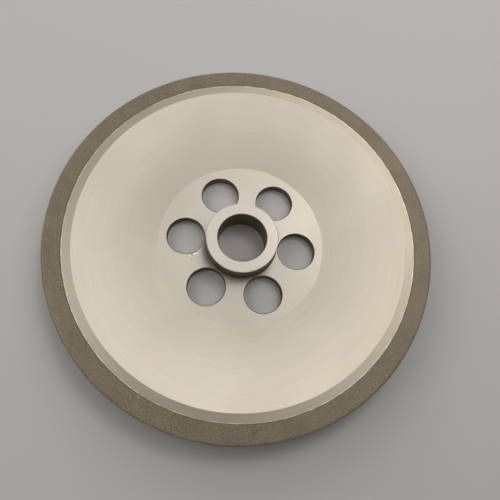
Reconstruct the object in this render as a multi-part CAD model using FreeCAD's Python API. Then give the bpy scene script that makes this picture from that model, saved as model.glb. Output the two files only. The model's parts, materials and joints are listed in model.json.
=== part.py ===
import FreeCAD, Part
import math
import os

# Brazed diamond grinding wheel.
# A dished steel body, turned in one piece with its hub, carries one layer of diamond grit
# brazed over the face and the outer edge of its rim.
# Millimetres, +Z up. The wheel lies on its back: the origin is the middle of the back face,
# on the axis of the bore, and the dish opens upwards.

# The whole wheel, measured over the grit
WHEEL_DIAMETER = 200.0

# Bore and hub
BORE_DIAMETER = 25.4
BORE_CHAMFER = 0.4
HUB_DIAMETER = 37.5
HUB_RISE = 11.0
HUB_CHAMFER = 0.3
HUB_FOOT_BEVEL = 0.5

# The flat web round the hub, thinnest part of the body
WEB_THICKNESS = 5.0
FLAT_DIAMETER = 89.0

# Six round holes through the web
HOLE_COUNT = 6
HOLE_DIAMETER = 20.0
HOLE_CIRCLE_DIAMETER = 60.0
FIRST_HOLE_ANGLE = 113.3

# The conical dish and the bare turned land at its top
DISH_DEPTH = 12.5
DISH_DIAMETER = 171.0
LAND_SLOPE = 2.0

# The rim under the grit, and the flat seat that the cone of the back starts from
RIM_EDGE_HEIGHT = 6.0
RIM_FRONT_CHAMFER = 0.3
RIM_BACK_CHAMFER = 0.6
SEAT_DIAMETER = 104.0

# The brazed grit: a layer of even thickness over the rim's face and edge
BAND_WIDTH = 9.8
BAND_SLOPE = 1.5
BAND_CORNER_RADIUS = 1.3
GRIT_THICKNESS = 0.8
GRIT_STEP = 0.2

# Heights and radii that follow from the sizes above
FLAT_Z = WEB_THICKNESS
HUB_TOP_Z = FLAT_Z + HUB_RISE
DISH_TOP_Z = FLAT_Z + DISH_DEPTH
BAND_INNER_RADIUS = WHEEL_DIAMETER / 2 - BAND_WIDTH
LAND_WIDTH = BAND_INNER_RADIUS - DISH_DIAMETER / 2
LAND_OUTER_Z = DISH_TOP_Z - LAND_WIDTH * math.tan(math.radians(LAND_SLOPE))
BAND_FALL = math.tan(math.radians(BAND_SLOPE))
BAND_INNER_Z = LAND_OUTER_Z + GRIT_STEP
RIM_BACK_Z = BAND_INNER_Z - BAND_WIDTH * BAND_FALL - RIM_EDGE_HEIGHT


def unit(start, end):
    """Direction from one point of an outline to another, as a vector of length one."""
    return (end - start).normalize()


def outline(corners):
    """Closed wire in the XZ plane through (radius, height, rounding) corners.

    A corner with a rounding above zero becomes an arc that is tangent to both of its sides.
    """
    points = [FreeCAD.Vector(radius, 0, height) for radius, height, rounding in corners]
    arcs = []
    for index, (radius, height, rounding) in enumerate(corners):
        corner = points[index]
        if rounding <= 0:
            arcs.append((corner, corner, corner))
            continue
        back = unit(corner, points[index - 1])
        ahead = unit(corner, points[(index + 1) % len(points)])
        half_angle = back.getAngle(ahead) / 2
        reach = rounding / math.tan(half_angle)
        bisector = (back + ahead).normalize()
        centre = corner + bisector * (rounding / math.sin(half_angle))
        arcs.append((corner + back * reach, centre - bisector * rounding, corner + ahead * reach))
    edges = []
    for index, (start, middle, end) in enumerate(arcs):
        if start != end:
            edges.append(Part.Arc(start, middle, end).toShape())
        following = arcs[(index + 1) % len(arcs)][0]
        edges.append(Part.LineSegment(end, following).toShape())
    return Part.Wire(edges)


def turned(corners):
    """Solid turned about the wheel's axis from an outline."""
    face = Part.Face(outline(corners))
    return face.revolve(FreeCAD.Vector(0, 0, 0), FreeCAD.Vector(0, 0, 1), 360)


def band_height(radius):
    """Height of the band's sloping face at a radius."""
    return BAND_INNER_Z - (radius - BAND_INNER_RADIUS) * BAND_FALL


def band_surface():
    """Corners of the working surface, from the band's inner edge over the rim and down."""
    outer = WHEEL_DIAMETER / 2
    return [
        (BAND_INNER_RADIUS, band_height(BAND_INNER_RADIUS), 0),
        (outer, band_height(outer), BAND_CORNER_RADIUS),
        (outer, RIM_BACK_Z + RIM_BACK_CHAMFER, 0),
    ]


def band_bed():
    """Corners of the steel that the grit is brazed to, in the same order as its surface."""
    outer = WHEEL_DIAMETER / 2 - GRIT_THICKNESS
    shoulder = outer - RIM_FRONT_CHAMFER
    return [
        (BAND_INNER_RADIUS, band_height(BAND_INNER_RADIUS) - GRIT_THICKNESS, 0),
        (shoulder, band_height(shoulder) - GRIT_THICKNESS, 0),
        (outer, band_height(shoulder) - GRIT_THICKNESS - RIM_FRONT_CHAMFER, 0),
        (outer, RIM_BACK_Z + RIM_BACK_CHAMFER, 0),
    ]


def steel_body():
    """Hub, web, dish and rim, turned in one piece, with six holes through the web."""
    bore = BORE_DIAMETER / 2
    hub = HUB_DIAMETER / 2
    rim = WHEEL_DIAMETER / 2 - GRIT_THICKNESS
    back = [
        (bore, BORE_CHAMFER, 0),
        (bore + BORE_CHAMFER, 0, 0),
        (SEAT_DIAMETER / 2, 0, 0),
        (rim - RIM_BACK_CHAMFER, RIM_BACK_Z, 0),
    ]
    front = [
        (BAND_INNER_RADIUS, LAND_OUTER_Z, 0),
        (DISH_DIAMETER / 2, DISH_TOP_Z, 0),
        (FLAT_DIAMETER / 2, FLAT_Z, 0),
        (hub + HUB_FOOT_BEVEL, FLAT_Z, 0),
        (hub, FLAT_Z + HUB_FOOT_BEVEL, 0),
        (hub, HUB_TOP_Z - HUB_CHAMFER, 0),
        (hub - HUB_CHAMFER, HUB_TOP_Z, 0),
        (bore + BORE_CHAMFER, HUB_TOP_Z, 0),
        (bore, HUB_TOP_Z - BORE_CHAMFER, 0),
    ]
    body = turned(back + band_bed()[::-1] + front)
    for index in range(HOLE_COUNT):
        body = body.cut(web_hole(FIRST_HOLE_ANGLE + index * 360 / HOLE_COUNT))
    return body


def web_hole(angle):
    """Cutter for one hole of the web, which it passes on both sides."""
    place = FreeCAD.Vector(HOLE_CIRCLE_DIAMETER / 2, 0, -1)
    cutter = Part.makeCylinder(HOLE_DIAMETER / 2, WEB_THICKNESS + 2, place)
    cutter.rotate(FreeCAD.Vector(0, 0, 0), FreeCAD.Vector(0, 0, 1), angle)
    return cutter


def abrasive_band():
    """Ring of brazed grit: an L-shaped section of even thickness, wrapped over the rim."""
    return turned(band_surface() + band_bed()[::-1])


def main():
    """Make both pieces and write each one to its own file."""
    os.makedirs("parts", exist_ok=True)
    pieces = {"steel_body": steel_body(), "abrasive_band": abrasive_band()}
    for name, shape in pieces.items():
        shape.exportStep("parts/" + name + ".step")
        print(name, "valid", shape.isValid(), "volume", round(shape.Volume, 1))


main()
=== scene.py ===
import json
import math

import bpy
import numpy as np
from bpy.props import FloatProperty, FloatVectorProperty, IntProperty, PointerProperty
from mathutils import Matrix, Vector, noise
from mathutils.geometry import delaunay_2d_cdt


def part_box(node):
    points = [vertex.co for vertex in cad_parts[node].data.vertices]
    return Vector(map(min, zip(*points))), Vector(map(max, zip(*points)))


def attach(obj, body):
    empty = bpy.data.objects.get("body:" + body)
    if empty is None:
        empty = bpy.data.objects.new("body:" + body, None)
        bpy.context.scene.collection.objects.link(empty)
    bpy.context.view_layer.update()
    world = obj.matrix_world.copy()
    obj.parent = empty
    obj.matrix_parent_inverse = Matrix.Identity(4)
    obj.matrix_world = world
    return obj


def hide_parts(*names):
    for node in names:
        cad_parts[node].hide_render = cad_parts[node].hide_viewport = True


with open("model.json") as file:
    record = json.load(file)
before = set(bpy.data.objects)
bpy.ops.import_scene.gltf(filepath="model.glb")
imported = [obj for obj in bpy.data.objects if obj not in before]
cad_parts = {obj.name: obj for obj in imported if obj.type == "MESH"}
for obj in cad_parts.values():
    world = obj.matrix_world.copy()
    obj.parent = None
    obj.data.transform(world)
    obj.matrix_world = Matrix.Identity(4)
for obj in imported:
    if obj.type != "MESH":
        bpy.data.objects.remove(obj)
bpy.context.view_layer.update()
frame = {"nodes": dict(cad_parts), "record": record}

bl_info = {
    "name": "Brazed grinding wheel looks",
    "version": (1, 0, 0),
    "blender": (4, 5, 0),
    "location": "View3D > Sidebar > Grinding wheel",
    "description": "Turned steel body, braze bed, diamond grains and a studio floor for a dished wheel",
    "category": "Object",
}

MM = 0.001

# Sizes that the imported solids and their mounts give
BODY_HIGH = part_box("steel_body")[1]
BAND_LOW, BAND_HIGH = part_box("abrasive_band")
MOUNTS = {mount["name"]: mount for mount in frame["record"]["mounts"]}
BORE_RADIUS = MOUNTS["bore"]["dims"]["r_mm"] * MM
HOLE_RADIUS = MOUNTS["web_holes"]["dims"]["hole_r_mm"] * MM
HOLE_CIRCLE_RADIUS = MOUNTS["web_holes"]["dims"]["pcd_mm"] / 2 * MM
HOLE_COUNT = MOUNTS["web_holes"]["dims"]["count"]
HUB_TOP = MOUNTS["hub_face"]["pos_m"][2]
WEB_TOP = MOUNTS["web_holes"]["pos_m"][2]
DISH_TOP = BODY_HIGH.z
BAND_TOP = BAND_HIGH.z
BAND_FOOT = BAND_LOW.z

# Sizes of the section that no mount gives, the same as in the solids
WHEEL_RADIUS = 100 * MM
FIRST_HOLE_ANGLE = math.radians(113.3)
BORE_CHAMFER = 0.4 * MM
HUB_RADIUS = 18.75 * MM
HUB_CHAMFER = 0.3 * MM
HUB_FILLET = 0.8 * MM
FLAT_RADIUS = 44.5 * MM
DISH_RADIUS = 85.5 * MM
BAND_INNER_RADIUS = 90.2 * MM
BAND_STEP = 0.2 * MM
BAND_FALL = math.tan(math.radians(1.5))
BAND_CORNER = 1.3 * MM
LAYER = 0.8 * MM
RIM_RADIUS = WHEEL_RADIUS - LAYER
RIM_FRONT_CHAMFER = 0.3 * MM
RIM_BACK_CHAMFER = 0.6 * MM
SEAT_RADIUS = 52 * MM

# Distance from the axis to the nearest point of a hole
HOLE_INNER_REACH = HOLE_CIRCLE_RADIUS - HOLE_RADIUS

# Fineness of the meshes
WHEEL_SEGMENTS = 360
HOLE_SEGMENTS = 180
BED_SEGMENTS = 900
BED_STEP = 0.6 * MM
ARC_STEP = math.radians(15)

# A level face starts at these shares of the radius of a hole and of the ring inside the face
HOLE_SHARE = 0.9998
RING_SHARE = 0.9999

# How far a stretch of a section has to face outwards or upwards to be divided, and be straight
FACING_LEAST = 0.5
STRAIGHT_LEAST = 0.999

# The nick in one hole's rim: its turn, its reach, how much farther it runs on one side, its height
NICKED_HOLE = 1
NICK_ANGLE = math.radians(-70.6)
NICK_REACH = math.radians(4)
NICK_TAIL = 2.5
NICK_HEIGHT = 0.9 * MM

# Marks on the web: start, end and width in millimetres, and strength. The bright ones are scratches and
# chips that carry painted glints.
BRIGHT_MARKS_AND_GLINTS = (
    ((-25.5, -6.4), (-22.0, -5.9), 0.62, 0.9),
    ((-27.3, -7.2), (-26.6, -8.0), 0.42, 0.85),
    ((-24.3, -7.3), (-25.6, -9.0), 0.30, 0.4),
    ((-15.7, 17.1), (-15.3, 17.1), 0.28, 0.7),
    ((-12.9, -42.3), (-6.2, -43.9), 0.22, 0.4),
    ((-24.0, -15.1), (-23.4, -14.8), 0.32, 0.7),
    ((-22.8, -14.3), (-21.7, -14.1), 0.30, 0.6),
    ((-25.7, -14.5), (-25.4, -14.5), 0.30, 0.4),
)
DARK_MARKS = (
    ((-26.2, -7.3), (-24.8, -7.3), 0.36, 0.7),
    ((-26.2, -9.3), (-26.0, -10.2), 0.36, 0.55),
    ((-24.7, -14.4), (-24.4, -14.3), 0.30, 0.4),
)

# Painted shadow on the web at one side of the hub's foot: its turn in degrees, and its reach on the web
FOOT_SHADOW_TURN = 245
FOOT_SHADOW_START = 0.6 * MM
FOOT_SHADOW_REACH = 4 * MM

# Braze that set unevenly: width and height in millimetres of its waves, the dip at its inner edge,
# how far it faces outwards or upwards where it shows, and the angle of its sharp edges
BED_WAVES = ((2.5, 0.03), (0.9, 0.02))
BED_DIP = 0.10
BED_DIP_WIDTH = 0.35 * MM
BED_FACING = 0.3
BED_SHARP_ANGLE = math.radians(40)

# Layout of the grains: distance of the rows, drift, distance from the edges, and share left out
ROW_SHARE = 0.866
DRIFT_SHARE = 0.32
EDGE_SHARE = 0.55
LEAST_EDGE_SHARE = 0.6
MISSING_SHARE = 0.03

# Form of a grain: sides of a block, their spread, uneven corners, narrow end and size
GRAIN_SIDES = (1.0, 0.9, 0.8)
SIDE_SPREAD = 0.12
CORNER_SPREAD = 0.16
NARROW_END = (0.45, 1.0)
HALF_SHARE = 0.46
SIZE_SPREAD = (0.72, 1.22)

# How far in millimetres the grains' tips lie below the wheel's full size, and their spread
LEAST_SINK = 0.015
SINK_SPREAD = 0.13
SINK_POWER = 1.5

# Grains on the face point upwards at least this much, and lie in two parts, split at this radius
FACE_RISE = 0.7
FACE_SPLIT = (BAND_INNER_RADIUS + WHEEL_RADIUS) / 2 - 0.4 * MM

# Lamps of the stage: name, turn round the wheel and height in degrees, distance and size in
# metres, and power in watts
LAMPS = (
    ("far_lamp", 90, 20, 1.4, 1.0, 6.1),
    ("far_left_lamp", 135, 20, 1.4, 1.0, 6.8),
    ("left_lamp", 180, 45, 0.7, 0.5, 1.4),
    ("key_lamp", 45, 45, 0.7, 0.5, 1.07),
    ("high_lamp", 60, 65, 0.7, 0.2, 0.79),
    ("right_lamp", 0, 65, 0.7, 0.5, 0.88),
)

# Brighter parts of the surroundings, with soft edges: turn, height and level of each
PATCHES = (
    (225, 45, 1.0),
    (0, 45, 0.49),
)
PATCH_FOCUS = 10
LIGHT_TINT = (1.0, 0.92, 0.82, 1.0)
SURROUND_TINT = (1.0, 0.98, 0.95, 1.0)

# The floor's half width and its depth below the wheel, and where it starts and ends to fade
FLOOR_REACH = 4.0
FLOOR_GAP = 0.03 * MM
FLOOR_FADE_START = 0.5
FLOOR_FADE_END = 1.15

# The camera's sensor in millimetres, and the nearest and the farthest that it sees, in metres
SENSOR_WIDTH = 36
NEAREST = 0.01
FARTHEST = 20

# Numbers of the colour sockets of a Mix node, whose names serve several kinds of value
MIX_SHARE, MIX_FIRST, MIX_SECOND, MIX_RESULT = 0, 6, 7, 2

# Finishes of the turned body, in the order of its material slots
SATIN, TURNED, WALL, DISH = 0, 1, 2, 3
FILLED = -1


class WheelBodyFinish(bpy.types.PropertyGroup):
    """Colours and edges of the turned steel."""

    face_colour: FloatVectorProperty(
        name="Face colour", description="Satin steel of the web and the back",
        subtype="COLOR", size=3, min=0, max=1, default=(0.492, 0.451, 0.380))
    dish_colour: FloatVectorProperty(
        name="Dish colour", description="Softer satin steel of the dish",
        subtype="COLOR", size=3, min=0, max=1, default=(0.648, 0.593, 0.510))
    web_colour: FloatVectorProperty(
        name="Web colour", description="Satin steel of the hub's face and of the web beside it",
        subtype="COLOR", size=3, min=0, max=1, default=(0.483, 0.449, 0.392))
    land_colour: FloatVectorProperty(
        name="Land colour", description="Bare turned steel of the land and the chamfers",
        subtype="COLOR", size=3, min=0, max=1, default=(0.369, 0.324, 0.255))
    wall_colour: FloatVectorProperty(
        name="Wall colour", description="Dull steel of the bore, the hub's side and the holes",
        subtype="COLOR", size=3, min=0, max=1, default=(0.17, 0.14, 0.09))
    edge_rounding: FloatProperty(
        name="Edge rounding", description="Rounding of the body's outer edges",
        unit="LENGTH", subtype="DISTANCE", min=0.00002, default=0.12 * MM)
    hole_rounding: FloatProperty(
        name="Hole rounding", description="Rounding of the edges of the web's holes",
        unit="LENGTH", subtype="DISTANCE", min=0.00002, default=0.3 * MM)
    nick_depth: FloatProperty(
        name="Nick depth", description="Depth of the nick in the edge of one hole",
        unit="LENGTH", subtype="DISTANCE", min=0, default=0.35 * MM)


class WheelBandFinish(bpy.types.PropertyGroup):
    """Braze bed and diamond grains of the abrasive band."""

    bed_colour: FloatVectorProperty(
        name="Bed colour", description="Braze between the grains",
        subtype="COLOR", size=3, min=0, max=1, default=(0.161, 0.130, 0.088))
    grain_colour: FloatVectorProperty(
        name="Grain colour", description="Diamond grains with a skin of braze",
        subtype="COLOR", size=3, min=0, max=1, default=(0.273, 0.224, 0.153))
    grain_size: FloatProperty(
        name="Grain size", description="Mean width of a diamond grain",
        unit="LENGTH", subtype="DISTANCE", min=0.0001, default=0.38 * MM)
    grain_spacing: FloatProperty(
        name="Grain spacing", description="Mean distance from one grain to the next",
        unit="LENGTH", subtype="DISTANCE", min=0.0002, default=0.56 * MM)
    bed_depth: FloatProperty(
        name="Bed depth", description="Depth of the braze below the tips of the grains",
        unit="LENGTH", subtype="DISTANCE", min=0, default=0.22 * MM)
    seed: IntProperty(
        name="Seed", description="Start of the random placing of the grains", default=7)


class WheelStage(bpy.types.PropertyGroup):
    """Floor, lamps and camera."""

    floor_colour: FloatVectorProperty(
        name="Floor colour", description="Plain pale floor",
        subtype="COLOR", size=3, min=0, max=1, default=(0.50, 0.485, 0.465))
    camera_place: FloatVectorProperty(
        name="Camera place", description="Where the camera stands, from the middle of the back face",
        subtype="TRANSLATION", size=3, default=(-0.01392, -0.07282, 0.23671))
    camera_aim: FloatVectorProperty(
        name="Camera aim", description="The point in the middle of the picture",
        subtype="TRANSLATION", size=3, default=(0.00482, -0.00343, 0.005))
    camera_roll: FloatProperty(
        name="Camera roll", description="Turn of the camera about its line of sight",
        subtype="ANGLE", default=math.radians(16.19))
    camera_lens: FloatProperty(
        name="Camera lens", description="Focal length on a 36 mm sensor, in millimetres",
        min=1, default=32.49)
    world_level: FloatProperty(
        name="World level", description="Strength of the even light from all round", min=0,
        default=0.04)
    surround_level: FloatProperty(
        name="Surround level", description="Brightness of the plain surroundings that show in the metal",
        min=0, default=0.20)


# Sections and meshes

def rounded_section(corners, closed=True):
    """Points (radius, height, outward normal, finish of the stretch that follows) of a section.

    A corner is (radius, height, rounding, finish of its arc, finish of the stretch that follows).
    The metal lies on the left of the way round, and a rounded corner becomes a tangent arc.
    """
    spots = [Vector(corner[:2]) for corner in corners]
    points = []
    for index, (_, _, rounding, arc_finish, finish) in enumerate(corners):
        spot = spots[index]
        ahead = (spots[(index + 1) % len(spots)] - spot).normalized()
        back = (spot - spots[index - 1]).normalized()
        if not closed and index in (0, len(corners) - 1):
            run = back if index else ahead
            points.append((spot, Vector((run.y, -run.x)), finish))
            continue
        turn = math.atan2(back.x * ahead.y - back.y * ahead.x, back.dot(ahead))
        side = Vector((back.y, -back.x))
        bulge = rounding if turn > 0 else -rounding
        centre = spot - back * (rounding * math.tan(abs(turn) / 2)) - side * bulge
        steps = max(2, math.ceil(abs(turn) / ARC_STEP))
        for step in range(steps + 1):
            normal = Matrix.Rotation(turn * step / steps, 2) @ side
            points.append((centre + normal * bulge, normal, finish if step == steps else arc_finish))
    return points


def divided(section, step):
    """Section with its outward and upward stretches cut into parts no longer than step."""
    points = []
    for index, (spot, normal, finish) in enumerate(section):
        points.append((spot, normal, finish))
        following = section[(index + 1) % len(section)]
        run = following[0] - spot
        parts = math.ceil(run.length / step)
        if max(normal) > FACING_LEAST and normal.dot(following[1]) > STRAIGHT_LEAST:
            points += [(spot + run * part / parts, normal, finish) for part in range(1, parts)]
    return points


class MeshDraft:
    """Vertices with normals of their own, and faces with the number of their finish."""

    def __init__(self):
        self.places = []
        self.normals = []
        self.faces = []
        self.finishes = []

    def ring(self, point, segments, centre=(0.0, 0.0), shape=None):
        """Ring of vertices about an upright axis at centre. shape may move each one a little."""
        spot, (outward, upward), _ = point
        first = len(self.places)
        for index in range(segments):
            angle = 2 * math.pi * index / segments
            wide, high = shape(angle, point) if shape else spot
            out = Vector((math.cos(angle), math.sin(angle), 0))
            self.places.append(out * wide + Vector((centre[0], centre[1], high)))
            self.normals.append(out * outward + Vector((0, 0, upward)))
        return range(first, first + segments)

    def bridge(self, ring, following, finish):
        """Strip of faces from one ring to the next on the way round the section."""
        for index in range(len(ring)):
            beside = (index + 1) % len(ring)
            self.faces.append((ring[index], ring[beside], following[beside], following[index]))
            self.finishes.append(finish)

    def turned(self, section, segments, closed=True, centre=(0.0, 0.0), shape=None):
        """Surface of revolution of a section. Stretches marked FILLED stay open. Returns the rings."""
        rings = [self.ring(point, segments, centre, shape) for point in section]
        for index, point in enumerate(section):
            if point[2] != FILLED and (closed or index + 1 < len(section)):
                self.bridge(rings[index], rings[(index + 1) % len(rings)], point[2])
        return rings

    def fill(self, rings, is_metal, facing_up, finish):
        """Level face between rings, made of the triangles whose middles are metal."""
        members = [index for ring in rings for index in ring]
        flat = [self.places[index].xy / MM for index in members]
        edges = []
        for ring in rings:
            start = members.index(ring[0])
            edges += [(start + i, start + (i + 1) % len(ring)) for i in range(len(ring))]
        _, _, faces, sources, _, _ = delaunay_2d_cdt(flat, edges, [], 0, 1e-7)
        for face in faces:
            corners = [members[sources[corner][0]] for corner in face]
            middle = sum((self.places[corner].xy for corner in corners), Vector((0, 0))) / 3
            if is_metal(middle):
                self.faces.append(tuple(corners if facing_up else reversed(corners)))
                self.finishes.append(finish)

    def build(self, name, materials, own_normals=True):
        """Smooth object of these faces in the scene."""
        mesh = bpy.data.meshes.new(name)
        mesh.from_pydata([tuple(place) for place in self.places], [], self.faces)
        for material in materials:
            mesh.materials.append(material)
        mesh.polygons.foreach_set("material_index", self.finishes)
        mesh.shade_smooth()
        if own_normals:
            mesh.normals_split_custom_set_from_vertices([tuple(normal) for normal in self.normals])
        return in_scene(name, mesh)


def in_scene(name, mesh):
    """Object of a mesh, linked to the scene."""
    piece = bpy.data.objects.new(name, mesh)
    bpy.context.scene.collection.objects.link(piece)
    return piece


def band_height(radius):
    """Height of the band's working face at a radius."""
    return BAND_TOP - (radius - BAND_INNER_RADIUS) * BAND_FALL


# Node trees

class NodeDraft:
    """Adds nodes to a tree and joins them by their sockets."""

    def __init__(self, tree):
        self.tree = tree

    def feed(self, socket, value):
        """Gives a socket a value of its own, or joins another socket to it."""
        if isinstance(value, bpy.types.NodeSocket):
            self.tree.links.new(value, socket)
        else:
            socket.default_value = value

    def node(self, kind, inputs=None, **options):
        """Node of a kind, such as TexNoise, with its options and inputs set."""
        made = self.tree.nodes.new("ShaderNode" + kind)
        for name, value in options.items():
            setattr(made, name, value)
        for name, value in (inputs or {}).items():
            self.feed(made.inputs[name], value)
        return made

    def maths(self, operation, *values, clamp=False):
        """Result of a Math node."""
        made = self.node("Math", operation=operation, use_clamp=clamp)
        for socket, value in zip(made.inputs, values):
            self.feed(socket, value)
        return made.outputs["Value"]

    def vector(self, operation, *values, out="Vector"):
        """Result of a Vector Math node."""
        made = self.node("VectorMath", operation=operation)
        for socket, value in zip(made.inputs, values):
            self.feed(socket, value)
        return made.outputs[out]

    def fade(self, value, low, high, to_low=0.0, to_high=1.0, smooth=True):
        """Value taken from one range to another."""
        inputs = {"Value": value, "From Min": low, "From Max": high, "To Min": to_low, "To Max": to_high}
        kind = "SMOOTHSTEP" if smooth else "LINEAR"
        return self.node("MapRange", inputs, interpolation_type=kind).outputs["Result"]

    def times(self, vector, number):
        """Vector made longer or shorter by a number."""
        made = self.node("VectorMath", {"Vector": vector, "Scale": number}, operation="SCALE")
        return made.outputs["Vector"]

    def mix(self, share, first, second):
        """Blend of two colours."""
        made = self.node("Mix", data_type="RGBA")
        self.feed(made.inputs[MIX_SHARE], share)
        self.feed(made.inputs[MIX_FIRST], first)
        self.feed(made.inputs[MIX_SECOND], second)
        return made.outputs[MIX_RESULT]

    def use(self, group, **inputs):
        """Copy of an effect's node group in this tree, with its own values."""
        made = self.node("Group", node_tree=group)
        for name, value in inputs.items():
            self.feed(made.inputs[name.replace("_", " ")], value)
        return made.outputs


def effect(name, inputs, outputs):
    """Empty node group of an effect. Returns its draft, its inputs and its outputs."""
    tree = bpy.data.node_groups.new(name, "ShaderNodeTree")
    for label, kind, default in inputs:
        socket = tree.interface.new_socket(label, in_out="INPUT", socket_type="NodeSocket" + kind)
        socket.default_value = default
    for label in outputs:
        tree.interface.new_socket(label, in_out="OUTPUT", socket_type="NodeSocketFloat")
    entry = tree.nodes.new("NodeGroupInput").outputs
    leave = tree.nodes.new("NodeGroupOutput").inputs
    return NodeDraft(tree), entry, leave


def own_place(draft):
    """Point of the surface in the wheel's frame, in metres."""
    return draft.node("TexCoord").outputs["Object"]


def height_on_wheel(draft):
    """Height of the surface above the wheel's back."""
    return draft.node("SeparateXYZ", {"Vector": own_place(draft)}).outputs["Z"]


def distance_from_axis(draft):
    """Distance of the surface from the wheel's axis, and its direction from there."""
    level = draft.vector("MULTIPLY", own_place(draft), (1, 1, 0))
    return draft.vector("LENGTH", level, out="Value"), draft.vector("NORMALIZE", level)


# Shared effects

def turning_lines():
    """Fine rings that a turning tool leaves, broken up a little on their way round."""
    inputs = [("Pitch", "Float", 0.0004), ("Breaks", "Float", 3.0)]
    draft, entry, leave = effect("turning_lines", inputs, ["Lines"])
    radius, direction = distance_from_axis(draft)
    along = draft.maths("ADD", radius, draft.maths("MULTIPLY", height_on_wheel(draft), 0.7))
    row = draft.maths("DIVIDE", along, entry["Pitch"])
    lift = draft.node("CombineXYZ", {"Z": row}).outputs["Vector"]
    spot = draft.vector("ADD", draft.times(direction, entry["Breaks"]), lift)
    streaks = draft.node("TexNoise", {"Vector": spot, "Scale": 1.0, "Detail": 3.0, "Roughness": 0.65})
    draft.feed(leave["Lines"], streaks.outputs["Fac"])
    return draft.tree


def cloudy_tint():
    """Soft irregular patches, from 0 to 1."""
    inputs = [("Size", "Float", 0.02), ("Detail", "Float", 2.0)]
    draft, entry, leave = effect("cloudy_tint", inputs, ["Cloud"])
    scale = draft.maths("DIVIDE", 1.0, entry["Size"])
    inputs = {"Vector": own_place(draft), "Scale": scale, "Detail": entry["Detail"], "Roughness": 0.55}
    cloud = draft.node("TexNoise", inputs).outputs["Fac"]
    draft.feed(leave["Cloud"], draft.fade(cloud, 0.3, 0.7))
    return draft.tree


def ring_fade():
    """Goes from 0 to 1 between two distances from the axis."""
    inputs = [("From", "Float", 0.04), ("To", "Float", 0.08)]
    draft, entry, leave = effect("ring_fade", inputs, ["Fade"])
    radius, _ = distance_from_axis(draft)
    draft.feed(leave["Fade"], draft.fade(radius, entry["From"], entry["To"]))
    return draft.tree


def ring_line():
    """A thin ring at one distance from the axis: 1 on it, 0 away from it."""
    inputs = [("Radius", "Float", 0.0855), ("Width", "Float", 0.0003)]
    draft, entry, leave = effect("ring_line", inputs, ["Line"])
    radius, _ = distance_from_axis(draft)
    away = draft.maths("ABSOLUTE", draft.maths("SUBTRACT", radius, entry["Radius"]))
    draft.feed(leave["Line"], draft.fade(draft.maths("DIVIDE", away, entry["Width"]), 1.0, 0.4))
    return draft.tree


def rubbed_edge_highlight():
    """Mask of sharp convex edges, for wear and for a painted highlight there: 1 on a sharp convex edge, 0
    away from it.
    """
    inputs = [("Reach", "Float", 0.0004)]
    draft, entry, leave = effect("rubbed_edge_highlight", inputs, ["Rub"])
    softened = draft.node("Bevel", {"Radius": entry["Reach"]}, samples=6).outputs["Normal"]
    straight = draft.node("NewGeometry").outputs["Normal"]
    closeness = draft.vector("DOT_PRODUCT", softened, straight, out="Value")
    draft.feed(leave["Rub"], draft.fade(closeness, 0.98, 0.80))
    return draft.tree


def fine_specks():
    """Scattered dark or light dots of dust and grit."""
    inputs = [("Spacing", "Float", 0.006), ("Share", "Float", 0.03)]
    draft, entry, leave = effect("fine_specks", inputs, ["Specks"])
    scale = draft.maths("DIVIDE", 1.0, entry["Spacing"])
    dots = draft.node("TexVoronoi", {"Vector": own_place(draft), "Scale": scale})
    size = draft.node("SeparateColor", {"Color": dots.outputs["Color"]}).outputs["Red"]
    reach = draft.maths("MULTIPLY", entry["Share"], size)
    away = draft.maths("DIVIDE", dots.outputs["Distance"], reach)
    draft.feed(leave["Specks"], draft.fade(away, 1.0, 0.6))
    return draft.tree


def short_scratch():
    """A scratch between two points of a level face, 1 along its middle."""
    inputs = [("Start", "Vector", (0, 0, 0)), ("End", "Vector", (0.001, 0, 0)), ("Width", "Float", 0.0002)]
    draft, entry, leave = effect("short_scratch", inputs, ["Scratch"])
    run = draft.vector("SUBTRACT", entry["End"], entry["Start"])
    away = draft.vector("SUBTRACT", own_place(draft), entry["Start"])
    share = draft.maths(
        "DIVIDE", draft.vector("DOT_PRODUCT", away, run, out="Value"),
        draft.vector("DOT_PRODUCT", run, run, out="Value"), clamp=True)
    gap = draft.vector("DISTANCE", away, draft.times(run, share), out="Value")
    width = draft.maths("MULTIPLY", entry["Width"], draft.maths("SUBTRACT", 1.2, share))
    draft.feed(leave["Scratch"], draft.fade(draft.maths("DIVIDE", gap, width), 0.8, 0.4))
    return draft.tree


def shared(make):
    """Node group of an effect, made once."""
    return bpy.data.node_groups.get(make.__name__) or make()


# Finishes

def new_finish(name):
    """New material: the material, its draft and its shader."""
    material = bpy.data.materials.new(name)
    material.use_nodes = True
    tree = material.node_tree
    return material, NodeDraft(tree), tree.nodes["Principled BSDF"]


def constant(shader, **values):
    """Sets values that are the same all over a surface on the shader's own sockets."""
    for name, value in values.items():
        shader.inputs[name.replace("_", " ")].default_value = value


def scaled(colour, level=1.0):
    """Colour made lighter or darker, with full cover."""
    return (*(min(1.0, part * level) for part in colour), 1.0)


def relief(draft, shader, height, strength, depth):
    """Fine relief of a surface: scratches and grain too small for the mesh."""
    bump = draft.node("Bump", {"Strength": strength, "Distance": depth, "Height": height})
    draft.feed(shader.inputs["Normal"], bump.outputs["Normal"])


def sheen_round_axis(draft, shader):
    """Makes the sheen of brushed steel follow its turning marks round the axis."""
    tangent = draft.node("Tangent", direction_type="RADIAL", axis="Z")
    draft.feed(shader.inputs["Tangent"], tangent.outputs["Tangent"])


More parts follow.
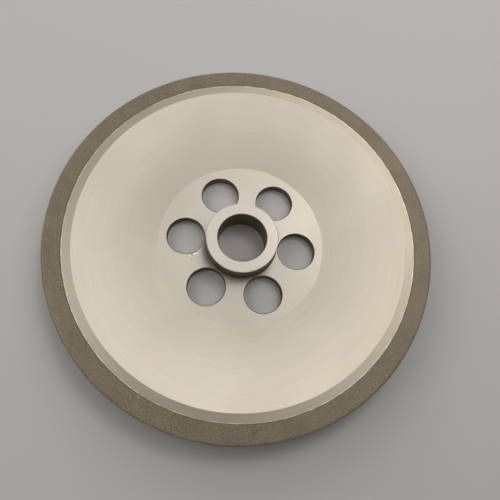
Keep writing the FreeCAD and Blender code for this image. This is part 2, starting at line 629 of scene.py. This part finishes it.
def ground_steel(name, colour, body, base, rough, brushed):
    """Fine-ground steel: turning lines, soft clouds, specks, and rubbed edges with a painted highlight,
    over a base shade.
    """
    material, draft, shader = new_finish(name)
    constant(shader, Metallic=1.0, Anisotropic=brushed, Anisotropic_Rotation=0.25)
    lines = draft.use(shared(turning_lines), Pitch=0.5 * MM, Breaks=2.5)["Lines"]
    clouds = draft.use(shared(cloudy_tint), Size=50 * MM, Detail=3.0)["Cloud"]
    rub_highlight = draft.use(shared(rubbed_edge_highlight), Reach=0.6 * MM)["Rub"]
    specks = draft.use(shared(fine_specks), Spacing=11 * MM, Share=0.03)["Specks"]
    shade = base(draft)
    shade = draft.mix(draft.fade(lines, 0.3, 0.7, 0.0, 0.07), shade, scaled(colour, 0.7))
    shade = draft.mix(draft.fade(clouds, 0.0, 1.0, 0.0, 0.07), shade, scaled(colour, 0.8))
    shade = draft.mix(draft.maths("MULTIPLY", specks, 0.45), shade, scaled(body.wall_colour, 0.8))
    # Convex edges are lighter: partly wear, partly a painted highlight
    shade = draft.mix(draft.maths("MULTIPLY", rub_highlight, 0.9), shade, scaled(colour, 1.45))
    draft.feed(shader.inputs["Base Color"], shade)
    streaky = draft.fade(lines, 0.2, 0.8, rough + 0.01, rough + 0.07)
    cloudy = draft.fade(clouds, 0, 1, -0.02, 0.02)
    draft.feed(shader.inputs["Roughness"], draft.maths("ADD", streaky, cloudy))
    relief(draft, shader, lines, 0.25, 0.01 * MM)
    sheen_round_axis(draft, shader)
    return material


def foot_grime(draft):
    """Painted shadow on one side of the hub's foot, on the web's top: 1 where it is darkest."""
    ring = draft.use(shared(ring_fade), From=HUB_RADIUS + FOOT_SHADOW_REACH, To=HUB_RADIUS + FOOT_SHADOW_START)["Fade"]
    _, direction = distance_from_axis(draft)
    facing = draft.vector("DOT_PRODUCT", direction, pointing(FOOT_SHADOW_TURN, 0), out="Value")
    away = draft.maths("ABSOLUTE", draft.maths("SUBTRACT", height_on_wheel(draft), WEB_TOP))
    on_top = draft.fade(away, 1.0 * MM, 0.5 * MM)
    return draft.maths("MULTIPLY", draft.maths("MULTIPLY", ring, on_top), draft.fade(facing, 0.1, 0.7))


def on_web(spot):
    """Point on the web's top, from its place in millimetres."""
    return Vector((spot[0] * MM, spot[1] * MM, WEB_TOP))


def satin_steel(body):
    """Ground steel of the web, the hub's face and the back, with a painted shadow at one side of the hub's
    foot, and the marks and painted glints beside the nick.
    """
    def base(draft):
        inward = draft.use(shared(ring_fade), From=42 * MM, To=18 * MM)["Fade"]
        shade = draft.mix(inward, scaled(body.face_colour, 0.97), scaled(body.web_colour))
        # Painted shadow on the web at one side of the hub's foot
        foot_shadow = draft.maths("MULTIPLY", foot_grime(draft), 0.7)
        shade = draft.mix(foot_shadow, shade, scaled(body.wall_colour, 0.5))
        bright, dark = scaled(body.face_colour, 1.6), scaled(body.wall_colour, 0.3)
        # Bright marks are scratches and chips with painted glints; dark marks are dark scratches and specks
        for marks, tone in ((BRIGHT_MARKS_AND_GLINTS, bright), (DARK_MARKS, dark)):
            for start, end, width, strength in marks:
                ends = {"Start": on_web(start), "End": on_web(end)}
                scratch = draft.use(shared(short_scratch), Width=width * MM, **ends)["Scratch"]
                shade = draft.mix(draft.maths("MULTIPLY", scratch, strength), shade, tone)
        return shade
    return ground_steel("satin_steel", body.face_colour, body, base, 0.52, 0.2)


def dish_steel(body):
    """Ground steel of the dish, softer in its sheen and a little paler towards the lip."""
    def base(draft):
        outward = draft.use(shared(ring_fade), From=46 * MM, To=80 * MM)["Fade"]
        return draft.mix(outward, scaled(body.dish_colour, 0.87), scaled(body.dish_colour))
    return ground_steel("dish_steel", body.dish_colour, body, base, 0.72, 0.0)


def turned_steel(body):
    """Bare steel with turning marks, on the land and on the chamfers of the rim and the back, with painted
    glints along the land's outer edge and its convex edges.
    """
    material, draft, shader = new_finish("turned_steel")
    constant(shader, Metallic=1.0, Anisotropic=0.7, Anisotropic_Rotation=0.25)
    land = body.land_colour
    coarse = draft.use(shared(turning_lines), Pitch=0.7 * MM, Breaks=3.5)["Lines"]
    fine = draft.use(shared(turning_lines), Pitch=0.25 * MM, Breaks=8.0)["Lines"]
    clouds = draft.use(shared(cloudy_tint), Size=12 * MM, Detail=3.0)["Cloud"]
    rub_highlight = draft.use(shared(rubbed_edge_highlight), Reach=0.4 * MM)["Rub"]
    shade = draft.mix(draft.fade(coarse, 0.3, 0.7, 0.0, 0.35), scaled(land), scaled(land, 0.72))
    shade = draft.mix(draft.fade(clouds, 0, 1, 0, 0.12), shade, scaled(land, 0.6))
    # A painted glint along the land's outer edge, broken into short pieces
    lip = draft.use(shared(ring_line), Radius=BAND_INNER_RADIUS - 0.25 * MM, Width=0.3 * MM)["Line"]
    glints = draft.use(shared(cloudy_tint), Size=4 * MM, Detail=2.0)["Cloud"]
    broken = draft.fade(glints, 0.4, 0.9, 0.1, 0.8)
    shade = draft.mix(draft.maths("MULTIPLY", lip, broken), shade, scaled(land, 1.7))
    # Convex edges get a painted highlight, broken like the glint
    shade = draft.mix(draft.maths("MULTIPLY", rub_highlight, broken), shade, scaled(body.face_colour, 1.25))
    draft.feed(shader.inputs["Base Color"], shade)
    draft.feed(shader.inputs["Roughness"], draft.fade(fine, 0.2, 0.8, 0.38, 0.50))
    height = draft.maths("ADD", coarse, draft.maths("MULTIPLY", fine, 0.4))
    relief(draft, shader, height, 0.4, 0.02 * MM)
    sheen_round_axis(draft, shader)
    return material


def dull_wall(body):
    """Dark, slightly oily steel of the bore, the hub's side and the holes, with painted shade on the hub's
    side.
    """
    material, draft, shader = new_finish("dull_wall")
    constant(shader, Metallic=0.8)
    wall = body.wall_colour
    lines = draft.use(shared(turning_lines), Pitch=0.4 * MM, Breaks=5.0)["Lines"]
    clouds = draft.use(shared(cloudy_tint), Size=6 * MM, Detail=3.0)["Cloud"]
    shade = draft.mix(draft.fade(lines, 0.3, 0.7, 0.0, 0.5), scaled(wall), scaled(wall, 0.6))
    shade = draft.mix(draft.fade(clouds, 0, 1, 0, 0.3), shade, scaled(wall, 1.5))
    near, far = HOLE_INNER_REACH - 0.3 * MM, HOLE_INNER_REACH - 0.2 * MM
    at_holes = draft.use(shared(ring_fade), From=near, To=far)["Fade"]
    outside = draft.use(shared(ring_fade), From=BORE_RADIUS + 2 * MM, To=HUB_RADIUS - 1 * MM)["Fade"]
    # Painted shade: the hub's side is darker than the bore and the holes
    hub_side_shade = draft.maths("MULTIPLY", outside, draft.maths("SUBTRACT", 1.0, at_holes))
    shade = draft.mix(draft.maths("MULTIPLY", hub_side_shade, 0.5), shade, scaled(wall, 0.3))
    at_top = draft.fade(height_on_wheel(draft), WEB_TOP - 0.5 * MM, WEB_TOP - 0.25 * MM)
    shade = draft.mix(draft.maths("MULTIPLY", at_top, at_holes), shade, scaled(wall, 0.2))
    draft.feed(shader.inputs["Base Color"], shade)
    draft.feed(shader.inputs["Roughness"], draft.fade(lines, 0.2, 0.8, 0.38, 0.55))
    relief(draft, shader, lines, 0.4, 0.02 * MM)
    return material


def braze(band):
    """Braze alloy between the grains, darker along the band's inner edge."""
    material, draft, shader = new_finish("braze_alloy")
    constant(shader, Metallic=0.6)
    bed = band.bed_colour
    small = draft.use(shared(cloudy_tint), Size=0.7 * MM, Detail=3.0)["Cloud"]
    large = draft.use(shared(cloudy_tint), Size=12 * MM, Detail=3.0)["Cloud"]
    shade = draft.mix(small, scaled(bed, 0.8), scaled(bed, 1.2))
    shade = draft.mix(draft.fade(large, 0, 1, 0, 0.3), shade, scaled(bed, 1.5))
    inner = draft.use(shared(ring_fade), From=BAND_INNER_RADIUS + 0.8 * MM, To=BAND_INNER_RADIUS)["Fade"]
    shade = draft.mix(draft.maths("MULTIPLY", inner, 0.8), shade, scaled(bed, 0.3))
    draft.feed(shader.inputs["Base Color"], shade)
    draft.feed(shader.inputs["Roughness"], draft.fade(small, 0, 1, 0.42, 0.6))
    relief(draft, shader, small, 0.6, 0.08 * MM)
    return material


def diamond_grit(band):
    """Diamond grains, most of them with a skin of braze, a few clean and bright."""
    material, draft, shader = new_finish("diamond_grit")
    constant(shader, Metallic=0.3)
    grain = band.grain_colour
    chance = draft.node("NewGeometry").outputs["Random Per Island"]
    large = draft.use(shared(cloudy_tint), Size=12 * MM, Detail=3.0)["Cloud"]
    skin = draft.use(shared(cloudy_tint), Size=0.5 * MM, Detail=2.0)["Cloud"]
    shade = draft.mix(draft.fade(chance, 0, 0.85, smooth=False), scaled(grain, 0.85), scaled(grain, 1.1))
    shade = draft.mix(draft.fade(chance, 0.95, 0.96), shade, scaled(grain, 1.35))
    shade = draft.mix(draft.fade(skin, 0, 1, 0, 0.2), shade, scaled(band.bed_colour))
    shade = draft.mix(draft.fade(large, 0, 1, 0, 0.15), shade, scaled(grain, 1.25))
    draft.feed(shader.inputs["Base Color"], shade)
    draft.feed(shader.inputs["Roughness"], draft.fade(chance, 0, 1, 0.55, 0.25, smooth=False))
    return material


def plain_floor(stage):
    """Pale matt floor that turns transparent far from the wheel."""
    material, draft, shader = new_finish("pale_floor")
    constant(shader, Roughness=0.9, Specular_IOR_Level=0.2)
    tone = stage.floor_colour
    clouds = draft.use(shared(cloudy_tint), Size=250 * MM, Detail=2.0)["Cloud"]
    shade = draft.mix(draft.fade(clouds, 0, 1, 0, 0.03), scaled(tone), scaled(tone, 0.9))
    draft.feed(shader.inputs["Base Color"], shade)
    cover = draft.use(shared(ring_fade), From=FLOOR_FADE_END, To=FLOOR_FADE_START)["Fade"]
    draft.feed(shader.inputs["Alpha"], cover)
    return material


# The turned body

def body_corners(body):
    """Corners of the body's section, from the foot of the bore outwards, over the rim and back."""
    edge = body.edge_rounding
    hidden = 0.05 * MM
    shoulder = RIM_RADIUS - RIM_FRONT_CHAMFER
    seat_height = band_height(shoulder) - LAYER
    return [
        (BORE_RADIUS, BORE_CHAMFER, edge, TURNED, TURNED),
        (BORE_RADIUS + BORE_CHAMFER, 0, edge, TURNED, FILLED),
        (SEAT_RADIUS, 0, 0.5 * MM, SATIN, SATIN),
        (RIM_RADIUS - RIM_BACK_CHAMFER, BAND_FOOT - RIM_BACK_CHAMFER, edge, TURNED, TURNED),
        (RIM_RADIUS, BAND_FOOT, hidden, TURNED, TURNED),
        (RIM_RADIUS, seat_height - RIM_FRONT_CHAMFER, hidden, TURNED, TURNED),
        (shoulder, seat_height, hidden, TURNED, TURNED),
        (BAND_INNER_RADIUS, BAND_TOP - LAYER, hidden, TURNED, TURNED),
        (BAND_INNER_RADIUS, BAND_TOP - BAND_STEP, hidden, TURNED, TURNED),
        (DISH_RADIUS, DISH_TOP, 0.25 * MM, DISH, DISH),
        (FLAT_RADIUS, WEB_TOP, 0.5 * MM, SATIN, FILLED),
        (HUB_RADIUS, WEB_TOP, HUB_FILLET, WALL, WALL),
        (HUB_RADIUS, HUB_TOP - HUB_CHAMFER, edge, WALL, SATIN),
        (HUB_RADIUS - HUB_CHAMFER, HUB_TOP, edge, SATIN, SATIN),
        (BORE_RADIUS + BORE_CHAMFER, HUB_TOP, edge, SATIN, WALL),
        (BORE_RADIUS, HUB_TOP - BORE_CHAMFER, edge, WALL, WALL),
    ]


def hole_corners(body):
    """Corners of a hole's section, from the web's top down to its back."""
    wide = HOLE_RADIUS + body.hole_rounding + 0.05 * MM
    return [
        (wide, WEB_TOP, 0, SATIN, SATIN),
        (HOLE_RADIUS, WEB_TOP, body.hole_rounding, WALL, WALL),
        (HOLE_RADIUS, 0, body.hole_rounding, WALL, SATIN),
        (wide, 0, 0, SATIN, SATIN),
    ]


def hole_centre(index):
    """Middle of a hole on the hole circle."""
    angle = FIRST_HOLE_ANGLE + 2 * math.pi * index / HOLE_COUNT
    return Vector((math.cos(angle), math.sin(angle))) * HOLE_CIRCLE_RADIUS


def hole_shape(index, body):
    """How far each point of a hole's rim lies from its middle. One rim has a nick."""
    def shape(angle, point):
        (radius, height), _, _ = point
        if index != NICKED_HOLE:
            return radius, height
        away = math.remainder(angle - NICK_ANGLE, 2 * math.pi)
        reach = NICK_REACH if away < 0 else NICK_REACH * NICK_TAIL
        depth = max(0.0, 1 - (WEB_TOP - height) / NICK_HEIGHT)
        return radius + body.nick_depth * depth * math.exp(-(away / reach) ** 2), height
    return shape


class WHEEL_OT_turned_body(bpy.types.Operator):
    """Make the steel body: hub, web with its holes, dish, bare land and rim."""

    bl_idname = "wheel.turned_body"
    bl_label = "Turned body"

    def execute(self, context):
        body = context.scene.wheel_body
        draft = MeshDraft()
        section = rounded_section(body_corners(body))
        rings = draft.turned(section, WHEEL_SEGMENTS)
        shapes = [hole_shape(index, body) for index in range(HOLE_COUNT)]
        hole_section = rounded_section(hole_corners(body), closed=False)
        holes = [
            draft.turned(hole_section, HOLE_SEGMENTS, False, hole_centre(index), shapes[index])
            for index in range(HOLE_COUNT)
        ]

        def is_metal(spot, level, inner):
            for index, shape in enumerate(shapes):
                away = spot - hole_centre(index)
                edge, _ = shape(math.atan2(away.y, away.x), hole_section[level])
                if away.length < edge * HOLE_SHARE:
                    return False
            return spot.length > inner * RING_SHARE

        back_and_web = [index for index, point in enumerate(section) if point[2] == FILLED]
        for level, index in zip((-1, 0), back_and_web):
            inner = min(section[index][0].x, section[index + 1][0].x)
            edges = [rings[index], rings[index + 1]] + [hole[level] for hole in holes]
            draft.fill(edges, lambda spot: is_metal(spot, level, inner), level == 0, SATIN)
        finishes = [satin_steel(body), turned_steel(body), dull_wall(body), dish_steel(body)]
        piece = draft.build("turned_body", finishes)
        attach(piece, "root")
        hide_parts("steel_body")
        plain = frame["nodes"]["steel_body"].data.materials
        plain.clear()
        plain.append(finishes[0])
        return {"FINISHED"}


# The abrasive band

def bed_corners(band):
    """Corners of the braze bed's section, from its inner foot outwards, over the rim and back."""
    hidden = 0.02 * MM
    shoulder = RIM_RADIUS - RIM_FRONT_CHAMFER
    seat_height = band_height(shoulder) - LAYER
    outer = WHEEL_RADIUS - band.bed_depth
    return [
        (BAND_INNER_RADIUS, BAND_TOP - LAYER, hidden, 0, 0),
        (shoulder, seat_height, hidden, 0, 0),
        (RIM_RADIUS, seat_height - RIM_FRONT_CHAMFER, hidden, 0, 0),
        (RIM_RADIUS, BAND_FOOT, hidden, 0, 0),
        (outer, BAND_FOOT, 0.1 * MM, 0, 0),
        (outer, band_height(outer) - band.bed_depth, BAND_CORNER - band.bed_depth, 0, 0),
        (BAND_INNER_RADIUS, BAND_TOP - band.bed_depth, 0.08 * MM, 0, 0),
    ]


def uneven_bed(angle, point):
    """Place of a point of the bed: gentle hollows, and a dip along the band's inner edge."""
    (radius, height), normal, _ = point
    if max(normal) < BED_FACING:
        return radius, height
    spot = Vector((math.cos(angle) * radius, math.sin(angle) * radius, height)) / MM
    lift = sum(rise * noise.noise(spot / width) for width, rise in BED_WAVES)
    dip = BED_DIP * math.exp(-((radius - BAND_INNER_RADIUS) / BED_DIP_WIDTH) ** 2)
    lift = (lift - dip) * MM
    return radius + lift * normal.x, height + lift * normal.y


class WHEEL_OT_braze_bed(bpy.types.Operator):
    """Make the braze that holds the grains, over the rim's face and edge."""

    bl_idname = "wheel.braze_bed"
    bl_label = "Braze bed"

    def execute(self, context):
        band = context.scene.wheel_band
        draft = MeshDraft()
        section = divided(rounded_section(bed_corners(band)), BED_STEP)
        draft.turned(section, BED_SEGMENTS, shape=uneven_bed)
        piece = draft.build("braze_bed", [braze(band)], own_normals=False)
        piece.data.set_sharp_from_angle(angle=BED_SHARP_ANGLE)
        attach(piece, "root")
        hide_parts("abrasive_band")
        return {"FINISHED"}


def grain_places(band, chance):
    """Grains' tips and the outward directions there, row by row over the rim."""
    corners = [
        (WHEEL_RADIUS, BAND_FOOT, 0, 0, 0),
        (WHEEL_RADIUS, band_height(WHEEL_RADIUS), BAND_CORNER, 0, 0),
        (BAND_INNER_RADIUS, BAND_TOP, 0, 0, 0),
    ]
    section = rounded_section(corners, closed=False)
    table = np.array([(*spot, *normal) for spot, normal, _ in section])
    way = np.concatenate([[0], np.cumsum(np.linalg.norm(np.diff(table[:, :2], axis=0), axis=1))])
    margin = band.grain_size * EDGE_SHARE
    least = margin * LEAST_EDGE_SHARE
    rows = np.arange(margin, way[-1] - margin, band.grain_spacing * ROW_SHARE)
    tips, outwards = [], []
    for number, row in enumerate(rows):
        radius = np.interp(row, way, table[:, 0])
        count = round(2 * math.pi * radius / band.grain_spacing)
        shift = chance.uniform(-DRIFT_SHARE, DRIFT_SHARE, (count, 2)) * band.grain_spacing
        angle = (np.arange(count) + number % 2 / 2) * 2 * math.pi / count + shift[:, 0] / radius
        along = np.clip(row + shift[:, 1], least, way[-1] - least)
        spot = np.stack([np.interp(along, way, column) for column in table.T], axis=1)
        kept = chance.random(count) > MISSING_SHARE
        flat = np.stack([np.cos(angle), np.sin(angle)], axis=1)
        tips.append(np.concatenate([flat * spot[:, :1], spot[:, 1:2]], axis=1)[kept])
        outwards.append(np.concatenate([flat * spot[:, 2:3], spot[:, 3:]], axis=1)[kept])
    outwards = np.concatenate(outwards)
    return np.concatenate(tips), outwards / np.linalg.norm(outwards, axis=1, keepdims=True)


def random_turns(count, chance):
    """Rotation matrices spread evenly over all directions."""
    w, x, y, z = chance.normal(size=(4, count))
    length = np.sqrt(w * w + x * x + y * y + z * z)
    w, x, y, z = w / length, x / length, y / length, z / length
    rows = [
        [1 - 2 * (y * y + z * z), 2 * (x * y - z * w), 2 * (x * z + y * w)],
        [2 * (x * y + z * w), 1 - 2 * (x * x + z * z), 2 * (y * z - x * w)],
        [2 * (x * z - y * w), 2 * (y * z + x * w), 1 - 2 * (x * x + y * y)],
    ]
    return np.moveaxis(np.array(rows), 2, 0)


# Corners and faces of a block
BLOCK = np.array([(x, y, z) for z in (-1, 1) for x, y in ((-1, -1), (1, -1), (1, 1), (-1, 1))], float)
BLOCK_FACES = np.array([(3, 2, 1, 0), (4, 5, 6, 7), (0, 1, 5, 4), (1, 2, 6, 5), (2, 3, 7, 6), (3, 0, 4, 7)])


def grain_corners(tips, outwards, band, chance):
    """Corners of one blocky crystal at each tip, turned at random and sunk into the braze."""
    count = len(tips)
    blocks = np.repeat(BLOCK[None], count, axis=0)
    blocks[:, 4:, :2] *= chance.uniform(*NARROW_END, (count, 1, 1))
    blocks *= np.array(GRAIN_SIDES) + chance.uniform(-SIDE_SPREAD, SIDE_SPREAD, (count, 1, 3))
    blocks += chance.uniform(-CORNER_SPREAD, CORNER_SPREAD, blocks.shape)
    blocks *= band.grain_size * HALF_SHARE * chance.uniform(*SIZE_SPREAD, (count, 1, 1))
    corners = np.einsum("nij,nkj->nki", random_turns(count, chance), blocks)
    reach = np.einsum("nkj,nj->nk", corners, outwards).max(axis=1)
    gap = (LEAST_SINK + SINK_SPREAD * chance.random(count) ** SINK_POWER) * MM
    centres = tips - outwards * (reach + gap)[:, None]
    return corners + centres[:, None]


class WHEEL_OT_diamond_grains(bpy.types.Operator):
    """Make the layer of diamond grains on the rim's face and on its edge."""

    bl_idname = "wheel.diamond_grains"
    bl_label = "Diamond grains"

    def execute(self, context):
        band = context.scene.wheel_band
        chance = np.random.default_rng(band.seed)
        tips, outwards = grain_places(band, chance)
        corners = grain_corners(tips, outwards, band, chance)
        grit = diamond_grit(band)
        on_face = outwards[:, 2] > FACE_RISE
        outer = np.hypot(tips[:, 0], tips[:, 1]) > FACE_SPLIT
        parts = {
            "inner_face_grains": on_face & ~outer,
            "outer_face_grains": on_face & outer,
            "edge_grains": ~on_face,
        }
        for name, chosen in parts.items():
            blocks = corners[chosen]
            first = np.arange(len(blocks))[:, None, None] * len(BLOCK)
            mesh = bpy.data.meshes.new(name)
            mesh.from_pydata(blocks.reshape(-1, 3), [], (BLOCK_FACES + first).reshape(-1, 4))
            mesh.materials.append(grit)
            piece = in_scene(name, mesh)
            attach(piece, "root")
            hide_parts("abrasive_band")
        plain = frame["nodes"]["abrasive_band"].data.materials
        plain.clear()
        plain.append(grit)
        return {"FINISHED"}


# The stage

def pointing(turn, height):
    """Direction from the wheel, from a turn and a height in degrees."""
    side, rise = math.radians(turn), math.radians(height)
    return Vector((math.cos(rise) * math.cos(side), math.cos(rise) * math.sin(side), math.sin(rise)))


def soft_lamp(name, turn, height, distance, size, power):
    """Square lamp that faces the middle of the wheel."""
    towards = pointing(turn, height)
    lamp = bpy.data.lights.new(name, "AREA")
    lamp.shape = "SQUARE"
    lamp.size = size
    lamp.energy = power
    holder = bpy.data.objects.new(name, lamp)
    holder.location = towards * distance
    holder.rotation_euler = (-towards).to_track_quat("-Z", "Y").to_euler()
    holder.visible_camera = False
    bpy.context.scene.collection.objects.link(holder)


class WHEEL_OT_stage(bpy.types.Operator):
    """Make the floor, the lamps, the world and the camera."""

    bl_idname = "wheel.stage"
    bl_label = "Stage"

    def execute(self, context):
        scene = context.scene
        stage = scene.wheel_stage
        mesh = bpy.data.meshes.new("floor")
        sides = ((-1, -1), (1, -1), (1, 1), (-1, 1))
        corners = [(x * FLOOR_REACH, y * FLOOR_REACH, -FLOOR_GAP) for x, y in sides]
        mesh.from_pydata(corners, [], [(0, 1, 2, 3)])
        mesh.materials.append(plain_floor(stage))
        in_scene("floor", mesh)

        for lamp in LAMPS:
            soft_lamp(*lamp)

        world = bpy.data.worlds.new("even_light")
        world.use_nodes = True
        draft = NodeDraft(world.node_tree)
        light = world.node_tree.nodes["Background"]
        path = draft.node("LightPath").outputs
        seen = draft.maths("MAXIMUM", path["Is Camera Ray"], path["Is Glossy Ray"])
        seen = draft.maths("MAXIMUM", seen, path["Is Transmission Ray"])
        draft.feed(light.inputs["Color"], draft.mix(seen, LIGHT_TINT, SURROUND_TINT))
        around = stage.surround_level
        towards = draft.node("TexCoord").outputs["Generated"]
        for turn, height, strength in PATCHES:
            facing = draft.vector("DOT_PRODUCT", towards, pointing(turn, height), out="Value")
            soft = draft.maths("POWER", draft.maths("MAXIMUM", facing, 0.0), PATCH_FOCUS)
            around = draft.maths("ADD", draft.maths("MULTIPLY", soft, strength), around)
        level = draft.fade(seen, 0, 1, stage.world_level, around, smooth=False)
        draft.feed(light.inputs["Strength"], level)
        scene.world = world

        view = bpy.data.cameras.new("view")
        view.lens = stage.camera_lens
        view.sensor_width = SENSOR_WIDTH
        view.clip_start = NEAREST
        view.clip_end = FARTHEST
        camera = bpy.data.objects.new("view", view)
        towards = Vector(stage.camera_aim) - Vector(stage.camera_place)
        turn = towards.to_track_quat("-Z", "Y").to_matrix() @ Matrix.Rotation(stage.camera_roll, 3, "Z")
        camera.matrix_world = Matrix.LocRotScale(Vector(stage.camera_place), turn.to_quaternion(), None)
        scene.collection.objects.link(camera)
        scene.camera = camera
        scene.view_settings.view_transform = "Standard"
        return {"FINISHED"}


# The panel

class WHEEL_PT_panel(bpy.types.Panel):
    """Sizes, colours and buttons of the grinding wheel."""

    bl_idname = "WHEEL_PT_panel"
    bl_label = "Grinding wheel"
    bl_space_type = "VIEW_3D"
    bl_region_type = "UI"
    bl_category = "Grinding wheel"

    def draw(self, context):
        for group in (context.scene.wheel_body, context.scene.wheel_band, context.scene.wheel_stage):
            box = self.layout.box()
            for name in group.bl_rna.properties.keys():
                if name not in ("rna_type", "name"):
                    box.prop(group, name)
        for operator in OPERATORS:
            self.layout.operator(operator.bl_idname)


SETTINGS = (WheelBodyFinish, WheelBandFinish, WheelStage)
OPERATORS = (WHEEL_OT_turned_body, WHEEL_OT_braze_bed, WHEEL_OT_diamond_grains, WHEEL_OT_stage)


def register():
    """Adds the settings, the operators and the panel to Blender."""
    for group in (*SETTINGS, *OPERATORS, WHEEL_PT_panel):
        bpy.utils.register_class(group)
    bpy.types.Scene.wheel_body = PointerProperty(type=WheelBodyFinish)
    bpy.types.Scene.wheel_band = PointerProperty(type=WheelBandFinish)
    bpy.types.Scene.wheel_stage = PointerProperty(type=WheelStage)


def unregister():
    """Takes them away again."""
    del bpy.types.Scene.wheel_body
    del bpy.types.Scene.wheel_band
    del bpy.types.Scene.wheel_stage
    for group in reversed((*SETTINGS, *OPERATORS, WHEEL_PT_panel)):
        bpy.utils.unregister_class(group)


def main():
    register()
    bpy.ops.wheel.turned_body()
    bpy.ops.wheel.braze_bed()
    bpy.ops.wheel.diamond_grains()
    bpy.ops.wheel.stage()


if __name__ == "__main__":
    main()
